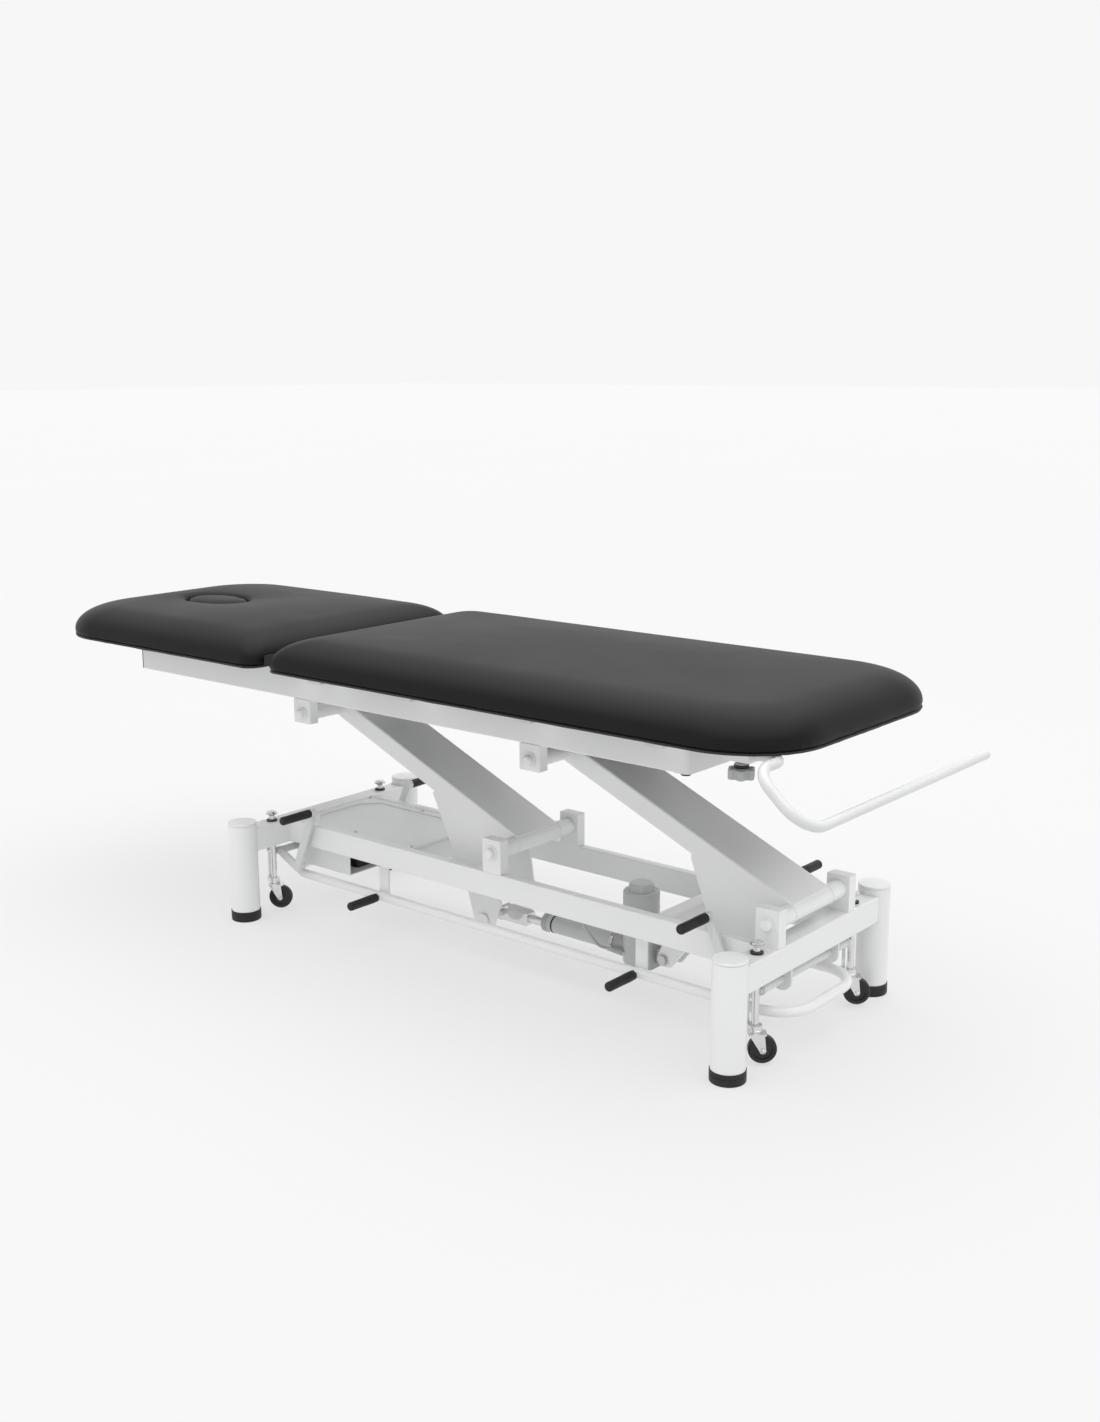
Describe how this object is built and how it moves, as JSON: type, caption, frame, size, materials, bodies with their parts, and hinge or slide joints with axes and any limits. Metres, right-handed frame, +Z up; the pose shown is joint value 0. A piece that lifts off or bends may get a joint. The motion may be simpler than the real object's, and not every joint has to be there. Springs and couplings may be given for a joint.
{
  "type": "examination couch",
  "caption": "Powered height-adjustable treatment couch with a tilting head section, face hole, foot bar, retractable castors and paper-roll bar.",
  "frame": {"origin": "on the floor under the middle of the whole couch", "axes": "+X along the couch to the foot end, +Y to the far side, +Z up"},
  "size_m": [2.002, 0.634, 0.641],
  "materials": {
    "white_frame": "satin powder coat",
    "vinyl": "satin upholstery vinyl",
    "board": "raw plywood",
    "chrome": "polished",
    "steel": "zinc plated",
    "black_rubber": "matt",
    "black_plastic": "matt",
    "white_plastic": "satin",
    "grey_plastic": "satin",
    "motor_grey": "satin",
    "cable": "matt",
    "wheel": "matt",
    "fabric": "woven"
  },
  "bodies": {
    "base": {"base_posts": "white_frame", "post_caps": "white_plastic", "rubber_feet": "black_rubber", "base_end_beams": "white_frame", "base_side_rails": "white_frame", "base_cross_members": "white_frame", "tray_plate": "steel", "lower_bearing_blocks": "white_frame", "lower_pivot_bolts": "steel", "drive_bracket": "white_frame", "anchor_pin": "steel", "control_channel": "steel", "control_box": "black_plastic", "mains_inlet": "black_plastic", "motor_lead": "cable", "motor_lead_tail": "cable", "cable_clips": "white_plastic", "foot_bar_guides": "white_plastic", "lift_shaft_plates": "white_frame", "castor_bushes": "black_plastic"},
    "head_arm_body": {"head_arm": "white_frame", "head_arm_shafts": "steel"},
    "foot_arm_body": {"foot_arm": "white_frame", "foot_arm_shafts": "steel"},
    "upper": {"upper_frame": "white_frame", "upper_bearing_blocks": "white_frame", "upper_pivot_bolts": "steel", "pad_bearers": "white_frame", "rail_plugs": "black_plastic", "main_board": "board", "main_pad": "vinyl", "holder_clamp": "white_frame", "head_hinges": "white_frame"},
    "head_section": {"head_board": "board", "head_frame": "white_frame", "head_pad": "vinyl", "gap_flap": "fabric"},
    "plug": {"face_plug": "vinyl"},
    "paper_holder": {"paper_bar": "white_frame"},
    "knob": {"clamp_knob": "grey_plastic"},
    "motor": {"motor_housing": "motor_grey", "gearbox": "black_plastic", "drive_tube": "motor_grey"},
    "rod": {"drive_rod": "chrome"},
    "pedal_bar": {"foot_bar": "white_frame", "foot_bar_grips": "black_rubber"},
    "head_lift": {"head_lift_shaft": "steel", "head_lift_grips": "black_rubber"},
    "foot_lift": {"foot_lift_shaft": "steel", "foot_lift_grips": "black_rubber"},
    "head_stems": {"head_castor_stems": "chrome"},
    "foot_stems": {"foot_castor_stems": "chrome"},
    "fork_head_near": {"castor_fork_head_near": "chrome"},
    "wheel_head_near": {"castor_wheel_head_near": "wheel"},
    "fork_head_far": {"castor_fork_head_far": "chrome"},
    "wheel_head_far": {"castor_wheel_head_far": "wheel"},
    "fork_foot_near": {"castor_fork_foot_near": "chrome"},
    "wheel_foot_near": {"castor_wheel_foot_near": "wheel"},
    "fork_foot_far": {"castor_fork_foot_far": "chrome"},
    "wheel_foot_far": {"castor_wheel_foot_far": "wheel"}
  },
  "joints": [
    {"name": "height", "type": "hinge", "parent": "base", "child": "head_arm_body", "pos_m": [0.1975, 0, 0.2407], "axis": [0, 1, 0], "range_deg": [-12, 36.3]},
    {"name": "foot_arm_pivot", "type": "hinge", "parent": "base", "child": "foot_arm_body", "pos_m": [0.82, 0, 0.2407], "axis": [0, 1, 0], "range_deg": [-12.1, 36.4]},
    {"name": "level", "type": "hinge", "parent": "head_arm_body", "child": "upper", "pos_m": [-0.29773, 0, 0.45193], "axis": [0, 1, 0], "range_deg": [-36.4, 12.1]},
    {"name": "rod_pivot", "type": "hinge", "parent": "head_arm_body", "child": "rod", "pos_m": [0.114, 0, 0.067], "axis": [0, 1, 0], "range_deg": [-28.1, 9.4]},
    {"name": "motor_pivot", "type": "hinge", "parent": "base", "child": "motor", "pos_m": [0.528, 0, 0.071], "axis": [0, 1, 0], "range_deg": [-2.8, 8.4]},
    {"name": "head_tilt", "type": "hinge", "parent": "upper", "child": "head_section", "pos_m": [-0.25, 0, 0.559], "axis": [0, 1, 0], "range_deg": [0, 40]},
    {"name": "plug_lift", "type": "slide", "parent": "head_section", "child": "plug", "axis": [0, 0, 1], "range_m": [0, 0.12]},
    {"name": "paper_bar_slide", "type": "slide", "parent": "upper", "child": "paper_holder", "axis": [1, 0, 0], "range_m": [-0.025, 0.05]},
    {"name": "knob_turn", "type": "hinge", "parent": "upper", "child": "knob", "pos_m": [0.82, -0.221, 0.52], "axis": [0, 0, 1], "range_deg": [0, 360]},
    {"name": "foot_bar_press", "type": "slide", "parent": "base", "child": "pedal_bar", "axis": [0, 0, 1], "range_m": [-0.008, 0.008], "stiffness_N_per_m": 4000, "springref_m": 0.006},
    {"name": "head_lift_turn", "type": "hinge", "parent": "base", "child": "head_lift", "pos_m": [-0.411, 0, 0.128], "axis": [0, -1, 0], "range_deg": [0, 35]},
    {"name": "head_stem_drop", "type": "slide", "parent": "base", "child": "head_stems", "axis": [0, 0, -1], "range_m": [0, 0.0091]},
    {"name": "foot_lift_turn", "type": "hinge", "parent": "base", "child": "foot_lift", "pos_m": [0.821, 0, 0.128], "axis": [0, -1, 0], "range_deg": [0, 35]},
    {"name": "foot_stem_drop", "type": "slide", "parent": "base", "child": "foot_stems", "axis": [0, 0, -1], "range_m": [0, 0.0091]},
    {"name": "swivel_head_near", "type": "hinge", "parent": "head_stems", "child": "fork_head_near", "pos_m": [-0.411, -0.162, 0.06], "axis": [0, 0, 1], "continuous": true},
    {"name": "roll_head_near", "type": "hinge", "parent": "fork_head_near", "child": "wheel_head_near", "pos_m": [-0.40048, -0.15436, 0.028], "axis": [0.5878, -0.809, 0], "continuous": true},
    {"name": "swivel_head_far", "type": "hinge", "parent": "head_stems", "child": "fork_head_far", "pos_m": [-0.411, 0.162, 0.06], "axis": [0, 0, 1], "continuous": true},
    {"name": "roll_head_far", "type": "hinge", "parent": "fork_head_far", "child": "wheel_head_far", "pos_m": [-0.40134, 0.1707, 0.028], "axis": [0.6691, -0.7431, 0], "continuous": true},
    {"name": "swivel_foot_near", "type": "hinge", "parent": "foot_stems", "child": "fork_foot_near", "pos_m": [0.821, -0.162, 0.06], "axis": [0, 0, 1], "continuous": true},
    {"name": "roll_foot_near", "type": "hinge", "parent": "fork_foot_near", "child": "wheel_foot_near", "pos_m": [0.83096, -0.15364, 0.028], "axis": [0.6428, -0.766, 0], "continuous": true},
    {"name": "swivel_foot_far", "type": "hinge", "parent": "foot_stems", "child": "fork_foot_far", "pos_m": [0.821, 0.162, 0.06], "axis": [0, 0, 1], "continuous": true},
    {"name": "roll_foot_far", "type": "hinge", "parent": "fork_foot_far", "child": "wheel_foot_far", "pos_m": [0.83165, 0.16946, 0.028], "axis": [0.5736, -0.8192, 0], "continuous": true}
  ],
  "couplings": [
    {"joint": "foot_arm_pivot", "follows": "height", "ratio": 1},
    {"joint": "level", "follows": "height", "ratio": -1},
    {"joint": "motor_pivot", "follows": "height", "ratio": 0.229},
    {"joint": "rod_pivot", "follows": "height", "ratio": -0.771},
    {"joint": "head_stem_drop", "follows": "head_lift_turn", "m_per_rad": 0.014766},
    {"joint": "foot_stem_drop", "follows": "foot_lift_turn", "m_per_rad": 0.014766}
  ]
}
